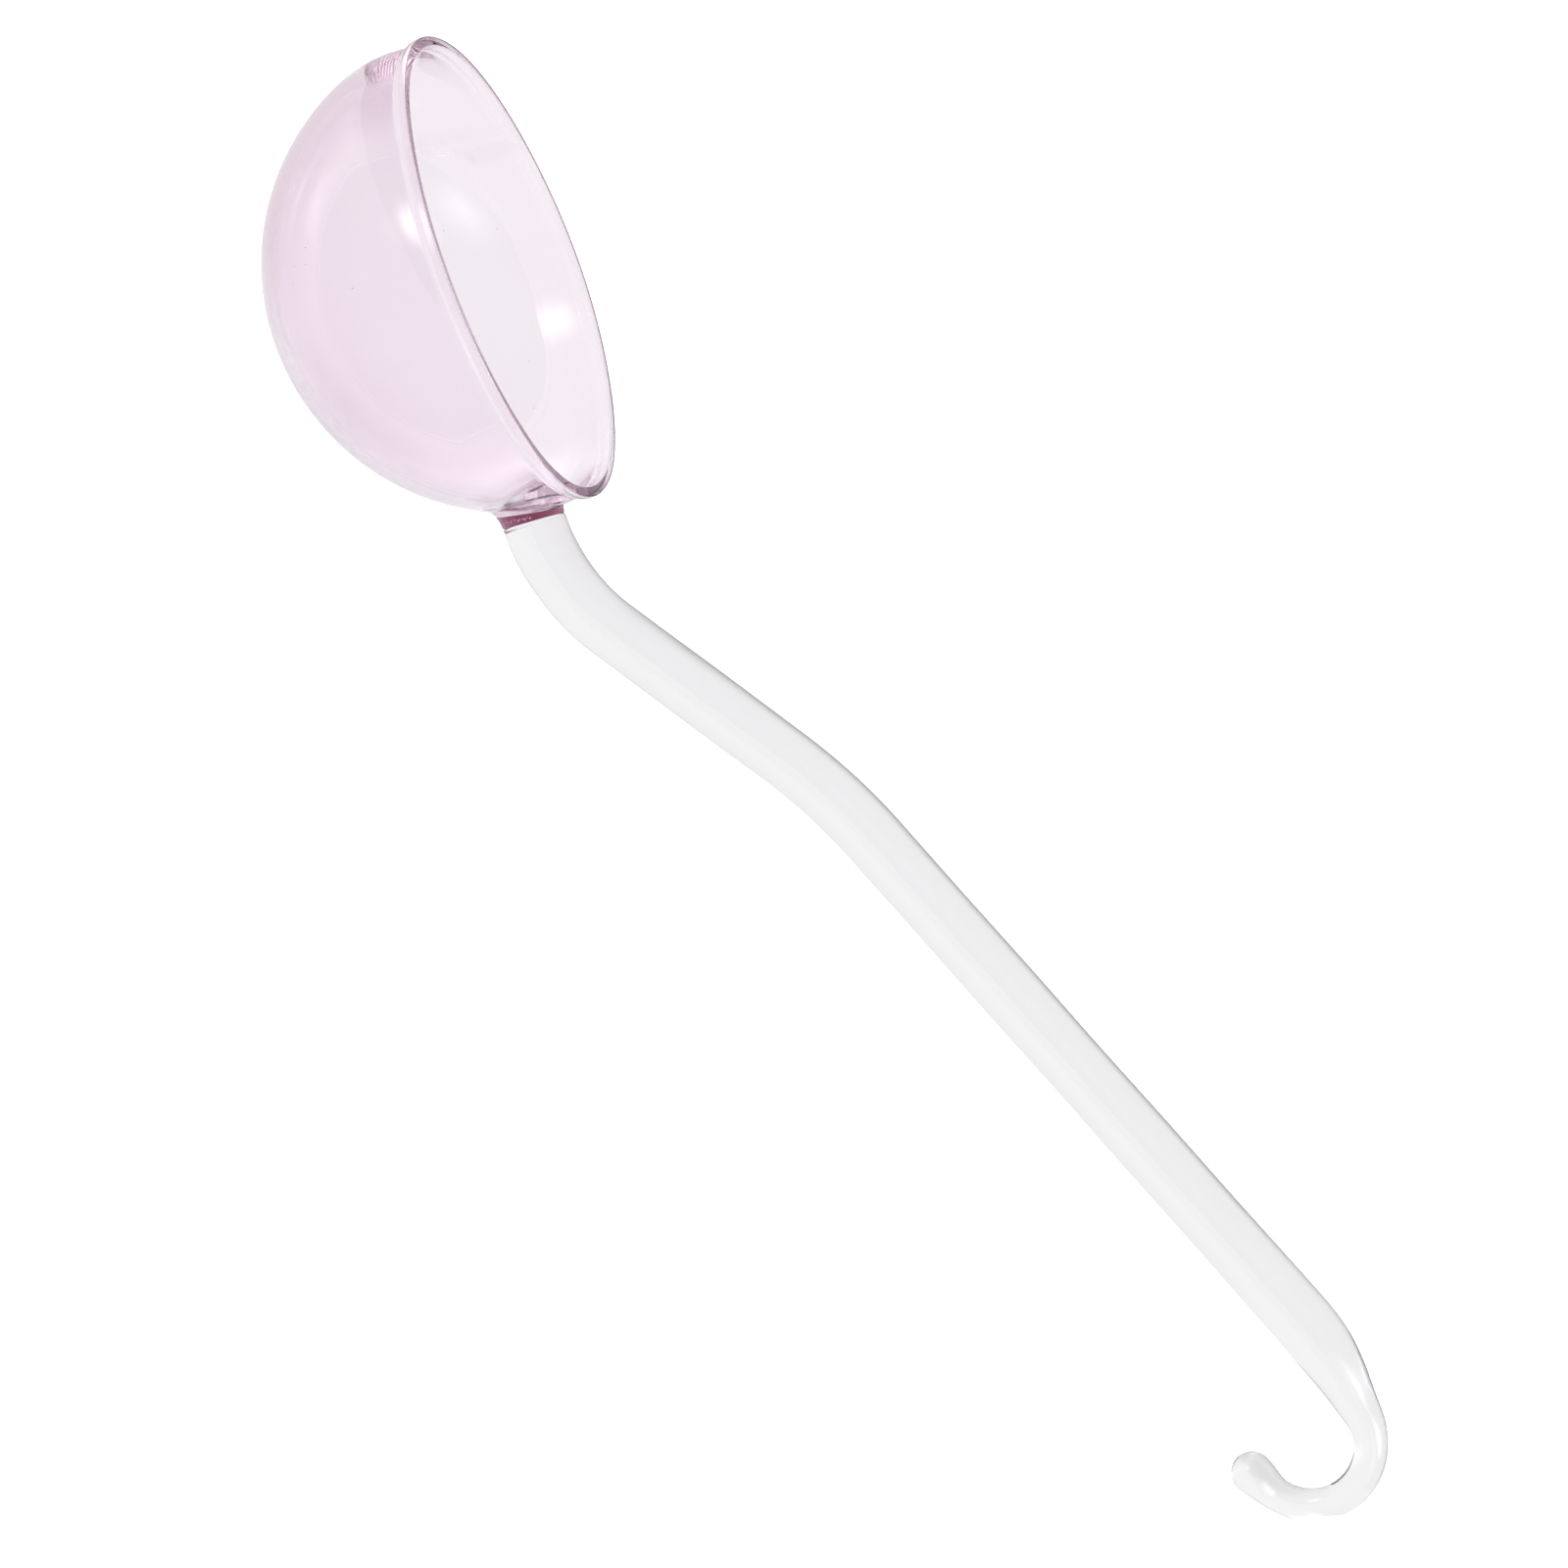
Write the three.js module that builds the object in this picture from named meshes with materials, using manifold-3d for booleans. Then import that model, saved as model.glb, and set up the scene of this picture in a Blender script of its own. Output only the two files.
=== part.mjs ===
// A punch ladle of lampworked glass: a blown pink bowl, a pink seal and a bent clear rod that ends in a hook.
// All sizes are in millimetres. The ladle is laid out about the centre of its round bowl, with the bowl's
// axis along +Z and the rod leaving along +X, and is then set down on a table, where it rests on the bowl
// and on the hook. The mirror plane of the ladle is the XZ plane.

import * as THREE from 'three';
import { mergeVertices } from 'three/addons/utils/BufferGeometryUtils.js';
import Module from 'manifold-3d';

const rad = THREE.MathUtils.degToRad;

// Bowl: half a sphere inside. Its outside draws in a little below a lip that stands out and has a flat top.
const BOWL_RADIUS = 35.8;
const BOWL_WALL = 1.7;
const CURL_RADIUS = 17;
const CURL_START = rad(14);
const RIM_HEIGHT = 0.5;
const LIP_WIDTH = 1.63;
const LIP_ROUND = 0.95;
const LIP_FILLET = 0.8;
const LIP_CORNER = 0.3;

// Seal: the lump of pink glass that was melted between the bowl's wall and the end of the rod.
const SEAL_DROP = 9.7;
const SEAL_LENGTH = 1.95;
const SEAL_FLARE = 6;
const SEAL_SPREAD = rad(60);
const SEAM = 0.25;

// Handle: one solid rod, drawn thinner at its far end, bent, and rounded at its tip in the flame.
const ROD_DIAMETER = 9;
const HOOK_DIAMETER = 4.9;
const TIP_DIAMETER = 6.2;
const LEAD_OUT = 1.45;
const NECK_RADIUS = 30;
const NECK_TURN = rad(34);
const RISER_LENGTH = 31.3;
const SHOULDER_RADIUS = 86;
const SHOULDER_TURN = rad(12);
const SHAFT_LENGTH = 91.6;
const CROOK_RADIUS = 50;
const CROOK_TURN = rad(13.6);
const HOOK_LEAD = 5;
const HOOK_RADIUS = 8.95;
const HOOK_TURN = rad(161);
const TIP_STRAIGHT = 3.1;
const TAPER_DELAY = 2.7;
const TAPER_LENGTH = 19.6;
const TIP_SWELL = 5;

// Fineness of the facets.
const BOWL_SIDES = 110;
const ROD_SIDES = 26;
const BOWL_STEP = 3.4;
const SEAL_STEP = 1;
const LEAST_STEP = 0.05;
const LEAST_ARC_STEPS = 4;
const BEND_STEP = rad(7);
const TAPER_STEPS = 10;
const TIP_STEPS = 6;

// The bowl's outline, as radius from its axis and height from its centre.
// The wall's outer face leaves the sphere for the curl, on which it draws in.
const innerRadius = BOWL_RADIUS - BOWL_WALL;
const curlCentre = new THREE.Vector2(Math.cos(CURL_START), -Math.sin(CURL_START))
  .multiplyScalar(BOWL_RADIUS - CURL_RADIUS);

// Direction, seen from the curl's centre, in which the wall runs into the hollow below the lip.
function filletDirection(round) {
  const offset = round.clone().sub(curlCentre);
  const apart = offset.length();
  const reach = CURL_RADIUS + LIP_FILLET;
  const gap = LIP_ROUND + LIP_FILLET;
  return offset.angle() - Math.acos((reach ** 2 + apart ** 2 - gap ** 2) / (2 * reach * apart));
}

// From the bottom up the outside, over the lip and down the inside.
function bowlOutline() {
  const lipRadius = innerRadius + LIP_WIDTH;
  const shoulder = RIM_HEIGHT - LIP_CORNER;
  const round = new THREE.Vector2(lipRadius - LIP_ROUND, RIM_HEIGHT - LIP_ROUND);
  const direction = filletDirection(round);
  const fillet = new THREE.Vector2(Math.cos(direction), Math.sin(direction))
    .multiplyScalar(CURL_RADIUS + LIP_FILLET)
    .add(curlCentre);
  const towardsLip = round.clone().sub(fillet).angle();
  const outline = new THREE.Path();
  outline.absarc(0, 0, BOWL_RADIUS, -Math.PI / 2, -CURL_START, false);
  outline.absarc(curlCentre.x, curlCentre.y, CURL_RADIUS, -CURL_START, direction, false);
  outline.absarc(fillet.x, fillet.y, LIP_FILLET, direction + Math.PI, towardsLip, true);
  outline.absarc(round.x, round.y, LIP_ROUND, towardsLip - Math.PI, 0, false);
  outline.absarc(lipRadius - LIP_CORNER, shoulder, LIP_CORNER, 0, Math.PI / 2, false);
  outline.absarc(innerRadius + LIP_CORNER, shoulder, LIP_CORNER, Math.PI / 2, Math.PI, false);
  outline.absarc(0, 0, innerRadius, 0, -Math.PI / 2, true);
  return outline;
}

// The outside of the bowl without its lip, filled and grown by a seam, as the seal meets it.
function bowlFormOutline(seam) {
  const outline = new THREE.Path();
  outline.absarc(0, 0, BOWL_RADIUS + seam, -Math.PI / 2, -CURL_START, false);
  outline.absarc(curlCentre.x, curlCentre.y, CURL_RADIUS + seam, -CURL_START, Math.PI / 2, false);
  outline.lineTo(0, curlCentre.y + CURL_RADIUS + seam);
  return outline;
}

// Points of an outline, with the ends that belong on the axis put exactly there.
function outlinePoints(outline, step) {
  const points = [];
  for (const curve of outline.curves.filter((run) => run.getLength() > LEAST_STEP)) {
    const straight = curve instanceof THREE.LineCurve;
    const steps = straight ? 1 : Math.max(LEAST_ARC_STEPS, Math.ceil(curve.getLength() / step));
    points.push(...curve.getPoints(steps).slice(points.length ? 1 : 0));
  }
  points[0].x = 0;
  points[points.length - 1].x = 0;
  return points;
}

// A body turned about the Z axis.
function turned(points, sides) {
  return new THREE.LatheGeometry(points, sides).rotateX(Math.PI / 2);
}

function bowlGeometry() {
  return turned(outlinePoints(bowlOutline(), BOWL_STEP), BOWL_SIDES);
}

// The rod's centre line in the mirror plane, as a bender's list of straights and bends.
const crook = { length: CROOK_RADIUS * CROOK_TURN, turn: -CROOK_TURN };
const BENDS = [
  { length: LEAD_OUT, turn: 0 },
  { length: NECK_RADIUS * NECK_TURN, turn: NECK_TURN },
  { length: RISER_LENGTH, turn: 0 },
  { length: SHOULDER_RADIUS * SHOULDER_TURN, turn: -SHOULDER_TURN },
  { length: SHAFT_LENGTH, turn: 0 },
  crook,
  { length: HOOK_LEAD, turn: 0 },
  { length: HOOK_RADIUS * HOOK_TURN, turn: -HOOK_TURN },
  { length: TIP_STRAIGHT, turn: 0 },
];

const rodRadius = ROD_DIAMETER / 2;
const hookRadius = HOOK_DIAMETER / 2;
const tipRadius = TIP_DIAMETER / 2;
const lengthBefore = (count) => BENDS.slice(0, count).reduce((sum, bend) => sum + bend.length, 0);
const tipCentre = lengthBefore(BENDS.length);
const taperStart = lengthBefore(BENDS.indexOf(crook)) + TAPER_DELAY;
const rodStart = Math.sqrt(BOWL_RADIUS ** 2 - SEAL_DROP ** 2) + SEAL_LENGTH;

// The place and heading of the centre line at a distance along the rod.
// A distance before its start lies straight behind it, and one past its end straight ahead.
function centreLine(distance) {
  const place = { x: rodStart, z: -SEAL_DROP, heading: 0 };
  let left = distance;
  BENDS.forEach((bend, index) => {
    const last = index === BENDS.length - 1;
    const run = last || left < bend.length ? left : bend.length;
    const turn = (bend.turn * run) / bend.length;
    const chord = turn === 0 ? run : (run * Math.sin(turn / 2)) / (turn / 2);
    place.x += chord * Math.cos(place.heading + turn / 2);
    place.z += chord * Math.sin(place.heading + turn / 2);
    place.heading += turn;
    left -= run;
  });
  return place;
}

// The rod's radius at a distance along it: full, drawn down, hook, swollen tip and round end.
function rodRadiusAt(distance) {
  const drawn = THREE.MathUtils.smoothstep(distance, taperStart, taperStart + TAPER_LENGTH);
  const swollen = THREE.MathUtils.smoothstep(distance, tipCentre - TIP_SWELL, tipCentre);
  const past = Math.max(0, distance - tipCentre);
  const body = rodRadius + (hookRadius - rodRadius) * drawn + (tipRadius - hookRadius) * swollen;
  return body * Math.sqrt(Math.max(0, 1 - (past / tipRadius) ** 2));
}

// Distances along the rod at which it gets a ring of corners.
function rodStations() {
  const stations = [0];
  BENDS.forEach((bend, index) => {
    const steps = Math.max(1, Math.ceil(Math.abs(bend.turn) / BEND_STEP));
    for (let step = 1; step <= steps; step++) {
      stations.push(lengthBefore(index) + (bend.length * step) / steps);
    }
  });
  for (let step = 0; step <= TAPER_STEPS; step++) {
    stations.push(taperStart + (TAPER_LENGTH * step) / TAPER_STEPS);
  }
  for (let step = 1; step < TIP_STEPS; step++) {
    stations.push(tipCentre + tipRadius * Math.sin((Math.PI / 2) * (step / TIP_STEPS)));
  }
  stations.sort((a, b) => a - b);
  return stations.filter((distance, index) => index === 0 || distance - stations[index - 1] > LEAST_STEP);
}

// A straight body turned about the Y axis, laid along the rod's centre line.
function bent(geometry) {
  const position = geometry.getAttribute('position');
  for (let index = 0; index < position.count; index++) {
    const across = position.getX(index);
    const side = position.getZ(index);
    const place = centreLine(position.getY(index));
    const x = place.x - across * Math.sin(place.heading);
    const z = place.z + across * Math.cos(place.heading);
    position.setXYZ(index, x, side, z);
  }
  geometry.computeVertexNormals();
  return geometry;
}

function handleGeometry() {
  const sides = rodStations().map((distance) => new THREE.Vector2(rodRadiusAt(distance), distance));
  const start = new THREE.Vector2(0, 0);
  const end = new THREE.Vector2(0, tipCentre + tipRadius);
  return bent(new THREE.LatheGeometry([start, ...sides, end], ROD_SIDES));
}

// Solids for cutting one piece by another.
const wasm = await Module();
wasm.setup();

function toSolid(geometry) {
  const bare = geometry.clone();
  bare.deleteAttribute('normal');
  bare.deleteAttribute('uv');
  const merged = mergeVertices(bare);
  const vertProperties = new Float32Array(merged.getAttribute('position').array);
  const triVerts = new Uint32Array(merged.getIndex().array);
  return new wasm.Manifold(new wasm.Mesh({ numProp: 3, vertProperties, triVerts }));
}

function toGeometry(solid) {
  const mesh = solid.getMesh();
  const geometry = new THREE.BufferGeometry();
  geometry.setAttribute('position', new THREE.BufferAttribute(mesh.vertProperties, 3));
  geometry.setIndex(new THREE.BufferAttribute(mesh.triVerts, 1));
  geometry.computeVertexNormals();
  return geometry;
}

// The seal is as thick as the rod where they meet, flares towards the bowl and fits its round wall.
function sealGeometry() {
  const flare = new THREE.Path();
  flare.moveTo(0, -ROD_DIAMETER);
  flare.lineTo(rodRadius + SEAL_FLARE * (1 - Math.cos(SEAL_SPREAD)), -ROD_DIAMETER);
  flare.absarc(rodRadius + SEAL_FLARE, -SEAM, SEAL_FLARE, Math.PI + SEAL_SPREAD, Math.PI, true);
  flare.lineTo(0, -SEAM);
  const body = bent(new THREE.LatheGeometry(outlinePoints(flare, SEAL_STEP), ROD_SIDES));
  const bowlForm = turned(outlinePoints(bowlFormOutline(SEAM), BOWL_STEP / 2), 2 * BOWL_SIDES);
  return toGeometry(toSolid(body).subtract(toSolid(bowlForm)));
}

// How far the ladle leans back when it lies on its bowl and its hook: the lowest of the lines that
// touch the bowl and the rod from below.
function restTilt() {
  const tilts = rodStations().map((distance) => {
    const place = centreLine(distance);
    const drop = BOWL_RADIUS - rodRadiusAt(distance);
    return Math.atan2(place.z, place.x) + Math.asin(drop / Math.hypot(place.x, place.z));
  });
  return Math.min(...tilts);
}

function glass(color, opacity) {
  return new THREE.MeshStandardMaterial({ color, roughness: 0.03, metalness: 0, transparent: true, opacity });
}

function piece(name, geometry, material) {
  const mesh = new THREE.Mesh(geometry, material);
  mesh.name = name;
  return mesh;
}

const ladle = new THREE.Group();
ladle.add(piece('bowl', bowlGeometry(), glass(0xf0d8e6, 0.45)));
ladle.add(piece('seal_collar', sealGeometry(), glass(0x925f6c, 0.85)));
ladle.add(piece('handle_rod', handleGeometry(), glass(0xeff0f2, 0.5)));

// Set the ladle down on the table, with the origin below the middle of its length.
ladle.rotation.y = restTilt();
const box = new THREE.Box3().setFromObject(ladle, true);
ladle.position.set(-(box.min.x + box.max.x) / 2, 0, -box.min.z);

const part = new THREE.Group();
part.add(ladle);

export default part;
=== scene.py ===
"""Looks of a lampworked glass punch ladle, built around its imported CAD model.

The bowl, the seal and the rod are rebuilt as fine meshes in the CAD model's own frame.
The sizes of the ladle and of the picture are in millimetres until a mesh or the camera is made.
Floor, lamps and card are in metres.
"""

import math

import bpy
import numpy as np
from mathutils import Matrix, Vector


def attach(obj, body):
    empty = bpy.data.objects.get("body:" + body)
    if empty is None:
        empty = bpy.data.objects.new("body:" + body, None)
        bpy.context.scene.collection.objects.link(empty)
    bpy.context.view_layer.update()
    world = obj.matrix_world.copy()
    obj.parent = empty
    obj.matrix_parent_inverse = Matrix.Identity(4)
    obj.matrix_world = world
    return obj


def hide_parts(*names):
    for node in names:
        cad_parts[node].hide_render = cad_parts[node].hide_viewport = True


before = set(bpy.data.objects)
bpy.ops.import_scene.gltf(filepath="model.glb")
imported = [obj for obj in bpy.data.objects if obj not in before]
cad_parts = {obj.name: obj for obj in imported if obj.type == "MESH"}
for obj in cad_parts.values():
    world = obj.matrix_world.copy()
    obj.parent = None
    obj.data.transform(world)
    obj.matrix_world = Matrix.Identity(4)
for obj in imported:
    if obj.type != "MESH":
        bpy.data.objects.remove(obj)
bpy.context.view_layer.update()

MM = 0.001
rad = math.radians

# The ladle's sizes, as in the CAD model.
BOWL_RADIUS = 35.8
BOWL_WALL = 1.7
CURL_RADIUS = 17.0
CURL_START = rad(14)
RIM_HEIGHT = 0.5
LIP_WIDTH = 1.63
LIP_ROUND = 0.95
LIP_FILLET = 0.8
LIP_CORNER = 0.3
SEAL_DROP = 9.7
SEAL_LENGTH = 1.95
ROD_RADIUS = 4.5
HOOK_WIRE_RADIUS = 2.45
TIP_RADIUS = 3.1
LEAD_OUT = 1.45
NECK_RADIUS = 30
NECK_TURN = rad(34)
RISER_LENGTH = 31.3
SHOULDER_RADIUS = 86
SHOULDER_TURN = rad(12)
SHAFT_LENGTH = 91.6
CROOK_RADIUS = 50
CROOK_TURN = rad(13.6)
HOOK_LEAD = 5.0
HOOK_RADIUS = 8.95
HOOK_TURN = rad(161)
TIP_STRAIGHT = 3.1
TAPER_DELAY = 2.7
TAPER_LENGTH = 19.6
TIP_SWELL = 5.0

# The rod's runs from the seal to the tip: length, and turn towards the rim's side.
BENDS = [
    (LEAD_OUT, 0.0),
    (NECK_RADIUS * NECK_TURN, NECK_TURN),
    (RISER_LENGTH, 0.0),
    (SHOULDER_RADIUS * SHOULDER_TURN, -SHOULDER_TURN),
    (SHAFT_LENGTH, 0.0),
    (CROOK_RADIUS * CROOK_TURN, -CROOK_TURN),
    (HOOK_LEAD, 0.0),
    (HOOK_RADIUS * HOOK_TURN, -HOOK_TURN),
    (TIP_STRAIGHT, 0.0),
]
CROOK_INDEX = 5

# Where the CAD model rests: the lean of the bowl's axis and the centre of its round wall.
REST_TILT = rad(20.835933)
BOWL_CENTRE = np.array([-89.8392, 0.0, 35.7939])
ALONG = np.array([math.cos(REST_TILT), 0.0, -math.sin(REST_TILT)])
SIDE = np.array([0.0, 1.0, 0.0])
AXIS = np.array([math.sin(REST_TILT), 0.0, math.cos(REST_TILT)])

# Fineness of the meshes.
BOWL_SIDES = 224
BOWL_STEP = 0.55
LEAST_ARC_STEPS = 6
SEAL_SIDES = 96
ROD_SIDES = 64
ROD_STEP = 0.7
ROD_EDGE_ROWS = 6
FURROW_ROWS = 15
TIP_ROWS = 16
EDGE_ROWS = 6
WEDGE_ROWS = 12
FLARE_ROWS = 20
FOOT_ROWS = 12
BUBBLE_ROWS = 5
BUBBLE_SIDES = 8


def to_frame(points):
    """Points along the rod's start, to the side and along the bowl's axis, in the row frame."""
    points = np.asarray(points, float)
    along, side, axis = points[:, 0], points[:, 1], points[:, 2]
    placed = np.outer(along, ALONG) + np.outer(side, SIDE) + np.outer(axis, AXIS)
    return (placed + BOWL_CENTRE) * MM


def smoothstep(value, low, high):
    t = np.clip((value - low) / (high - low), 0.0, 1.0)
    return t * t * (3 - 2 * t)


def ring_faces(rows, sides, first=0):
    """Quads between rows of corners that each close on themselves."""
    faces = []
    for row in range(rows - 1):
        for side in range(sides):
            a = first + row * sides + side
            b = first + row * sides + (side + 1) % sides
            faces.append((a, b, b + sides, a + sides))
    return faces


def cap_faces(centre, first, sides, flip):
    """A fan from a centre point to a ring of corners."""
    fan = []
    for side in range(sides):
        a, b = first + side, first + (side + 1) % sides
        fan.append((centre, b, a) if flip else (centre, a, b))
    return fan


def make_piece(name, points, faces, material):
    mesh = bpy.data.meshes.new(name)
    mesh.from_pydata([tuple(p) for p in points], [], faces)
    mesh.update()
    mesh.polygons.foreach_set("use_smooth", [True] * len(mesh.polygons))
    piece = bpy.data.objects.new(name, mesh)
    bpy.context.scene.collection.objects.link(piece)
    mesh.materials.append(material)
    return piece


def bubble_shell(centre, radius, first):
    """A small round hollow, with its faces turned towards its middle."""
    rows, sides = BUBBLE_ROWS, BUBBLE_SIDES
    points = [(centre[0], centre[1], centre[2] - radius)]
    for row in range(1, rows + 1):
        rise = math.pi * row / (rows + 1)
        for side in range(sides):
            turn = 2 * math.pi * side / sides
            wide = radius * math.sin(rise)
            points.append((
                centre[0] + wide * math.cos(turn),
                centre[1] + wide * math.sin(turn),
                centre[2] - radius * math.cos(rise),
            ))
    points.append((centre[0], centre[1], centre[2] + radius))
    last = first + 1 + (rows - 1) * sides
    faces = [tuple(reversed(face)) for face in ring_faces(rows, sides, first + 1)]
    faces += cap_faces(first, first + 1, sides, False)
    faces += cap_faces(first + 1 + rows * sides, last, sides, True)
    return points, faces


def add_bubbles(piece, bubbles, skin=None):
    """Put hollows of given middles and radii into a piece, with a skin of their own if given."""
    mesh = piece.data
    points = [tuple(vertex.co) for vertex in mesh.vertices]
    faces = [tuple(face.vertices) for face in mesh.polygons]
    solid = len(faces)
    for centre, radius in bubbles:
        shell, walls = bubble_shell(to_frame([centre])[0], radius * MM, len(points))
        points += shell
        faces += walls
    filled = bpy.data.meshes.new(piece.name)
    filled.from_pydata(points, [], faces)
    filled.polygons.foreach_set("use_smooth", [True] * len(filled.polygons))
    filled.materials.append(mesh.materials[0])
    if skin:
        filled.materials.append(skin)
        for face in filled.polygons[solid:]:
            face.material_index = 1
    piece.data = filled


# The bowl.
INNER_RADIUS = BOWL_RADIUS - BOWL_WALL
LIP_RADIUS = INNER_RADIUS + LIP_WIDTH
CURL_CENTRE = (BOWL_RADIUS - CURL_RADIUS) * np.array([math.cos(CURL_START), -math.sin(CURL_START)])
SAME_POINT = 1e-6

# How a bowl blown by mouth strays from true: out of round, its rim not level, its back drawn in.
OVAL = 0.10
THREE_SIDED = 0.06
LOW_TRUER = 0.6
LOW_RANGE = (2.0, 34.0)
RIM_LEAN = (0.45, 0.2)
RIM_SADDLE = 0.16
RIM_RIPPLE = 0.05
BACK_PINCH = 0.75
PINCH_RANGE = (-14.0, -1.0)


def arc(centre, radius, start, end):
    """Points of an arc at about an even step, with both of its ends."""
    steps = max(LEAST_ARC_STEPS, math.ceil(abs(end - start) * radius / BOWL_STEP))
    turn = np.linspace(start, end, steps + 1)
    return np.stack([centre[0] + radius * np.cos(turn), centre[1] + radius * np.sin(turn)], 1)


def heading(vector):
    return math.atan2(vector[1], vector[0])


def bowl_outline():
    """Outside from the pole up, over the lip, and inside down to the pole."""
    lip = np.array([LIP_RADIUS - LIP_ROUND, RIM_HEIGHT - LIP_ROUND])
    reach, gap = CURL_RADIUS + LIP_FILLET, LIP_ROUND + LIP_FILLET
    apart = np.linalg.norm(lip - CURL_CENTRE)
    cosine = (reach**2 + apart**2 - gap**2) / (2 * reach * apart)
    turn = heading(lip - CURL_CENTRE) - math.acos(cosine)
    fillet = CURL_CENTRE + reach * np.array([math.cos(turn), math.sin(turn)])
    to_lip = heading(lip - fillet)
    shoulder = RIM_HEIGHT - LIP_CORNER
    parts = [
        arc((0, 0), BOWL_RADIUS, -math.pi / 2, -CURL_START),
        arc(CURL_CENTRE, CURL_RADIUS, -CURL_START, turn),
        arc(fillet, LIP_FILLET, turn + math.pi, to_lip),
        arc(lip, LIP_ROUND, to_lip - math.pi, 0),
        arc((LIP_RADIUS - LIP_CORNER, shoulder), LIP_CORNER, 0, math.pi / 2),
        arc((INNER_RADIUS + LIP_CORNER, shoulder), LIP_CORNER, math.pi / 2, math.pi),
        arc((0, 0), INNER_RADIUS, 0, -math.pi / 2),
    ]
    points = [parts[0]]
    for part in parts[1:]:
        same = np.linalg.norm(part[0] - points[-1][-1]) < SAME_POINT
        points.append(part[1:] if same else part)
    return np.concatenate(points)


def bowl_mesh():
    outline = bowl_outline()
    body = outline[1:-1]
    turn = np.linspace(0, 2 * math.pi, BOWL_SIDES, endpoint=False)
    radius, height = body[:, 0][:, None], body[:, 1][:, None]
    low = smoothstep(-height, *LOW_RANGE)
    out_of_round = OVAL * np.sin(2 * turn + 0.6) + THREE_SIDED * np.sin(3 * turn + 2.1)
    lean = -RIM_LEAN[0] * np.cos(turn) - RIM_LEAN[1] * np.sin(turn)
    ripple = RIM_RIPPLE * np.sin(5 * turn + 0.4)
    lift = (1 - low) * (lean - RIM_SADDLE * np.cos(2 * turn) + ripple)
    pinch = BACK_PINCH * (0.5 - 0.5 * np.cos(turn)) ** 2 * smoothstep(height, *PINCH_RANGE)
    wavy = radius * (1 + (out_of_round * (1 - LOW_TRUER * low) - pinch) / BOWL_RADIUS)
    rows = np.stack([wavy * np.cos(turn), wavy * np.sin(turn), height + lift], 2)
    count = len(body)
    points = list(rows.reshape(-1, 3))
    points += [(0, 0, outline[0, 1]), (0, 0, outline[-1, 1])]
    faces = ring_faces(count, BOWL_SIDES)
    last = (count - 1) * BOWL_SIDES
    faces += cap_faces(count * BOWL_SIDES, 0, BOWL_SIDES, True)
    faces += cap_faces(count * BOWL_SIDES + 1, last, BOWL_SIDES, False)
    return to_frame(points), faces


# Seeds in the bowl's wall: turn from the rod and height angle in degrees, and radius.
SEEDS = [
    (-111.6, -33.8, 0.13),
    (-107.3, -35.4, 0.12),
    (-109.4, -39.9, 0.10),
    (-105.0, -42.4, 0.09),
    (-94.6, -22.9, 0.10),
    (-98.2, -11.3, 0.08),
    (109.3, -27.0, 0.12),
    (103.5, -14.8, 0.09),
    (53.7, -19.2, 0.10),
    (67.8, -18.1, 0.09),
    (-156.7, -29.1, 0.09),
    (164.0, -48.0, 0.11),
]


def bowl_seeds():
    middle = BOWL_RADIUS - BOWL_WALL / 2
    for turn, rise, radius in SEEDS:
        turn, rise = rad(turn), rad(rise)
        flat = middle * math.cos(rise)
        yield (flat * math.cos(turn), flat * math.sin(turn), middle * math.sin(rise)), radius


# The rod. Its welded end has a round edge, stands at a slant, is thicker below and has a furrow.
ROD_EDGE = 0.35
END_TILT = 0.7
END_FADE = 2.5
LOW_SWELL = 0.37
SWELL_RANGE = (2.0, 10.0)
SEAM_PLACE = 0.62
SEAM_WIDTH = 0.16
SEAM_DEPTH = 0.13
SEAM_REACH = 3

# Ripples left where the rod was drawn: depth, rate and phase.
RIPPLES = [(0.03, 0.21, 0.0), (0.02, 0.083, 1.0)]
RIPPLE_FADE = 8.0


def length_before(index):
    return sum(length for length, _ in BENDS[:index])


TIP_CENTRE = length_before(len(BENDS))
TAPER_START = length_before(CROOK_INDEX) + TAPER_DELAY
ROD_START = math.sqrt(BOWL_RADIUS**2 - SEAL_DROP**2) + SEAL_LENGTH


def centre_line(distance):
    """Place along, height and heading of the rod's middle at a distance along it."""
    x, z, turned, left = ROD_START, -SEAL_DROP, 0.0, distance
    for index, (length, turn) in enumerate(BENDS):
        last = index == len(BENDS) - 1
        run = left if last or left < length else length
        bend = turn * run / length
        chord = run if bend == 0 else run * math.sin(bend / 2) / (bend / 2)
        x += chord * math.cos(turned + bend / 2)
        z += chord * math.sin(turned + bend / 2)
        turned += bend
        left -= run
    return x, z, turned


def rod_radius(distance):
    drawn = smoothstep(distance, TAPER_START, TAPER_START + TAPER_LENGTH)
    swollen = smoothstep(distance, TIP_CENTRE - TIP_SWELL, TIP_CENTRE)
    thinner, thicker = HOOK_WIRE_RADIUS - ROD_RADIUS, TIP_RADIUS - HOOK_WIRE_RADIUS
    body = ROD_RADIUS + thinner * drawn + thicker * swollen
    past = max(0.0, distance - TIP_CENTRE)
    return body * math.sqrt(max(0.0, 1 - (past / TIP_RADIUS) ** 2))


def drawn_wave(distance):
    """The ripples' height, which fades to nothing at the welded end."""
    height = sum(depth * math.sin(distance * rate + phase) for depth, rate, phase in RIPPLES)
    return height * smoothstep(distance, 0.0, RIPPLE_FADE)


def end_shift(radius, angle):
    """How far the rod's slanted end runs into the seal. Angle 0 is towards the rim."""
    return END_TILT * (0.5 - 0.5 * radius * math.cos(angle) / ROD_RADIUS)


def rod_swell(distance, angle):
    """The rod is a little thicker below where it was welded."""
    return LOW_SWELL * (0.5 - 0.5 * math.cos(angle)) * (1 - smoothstep(distance, *SWELL_RANGE))


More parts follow.
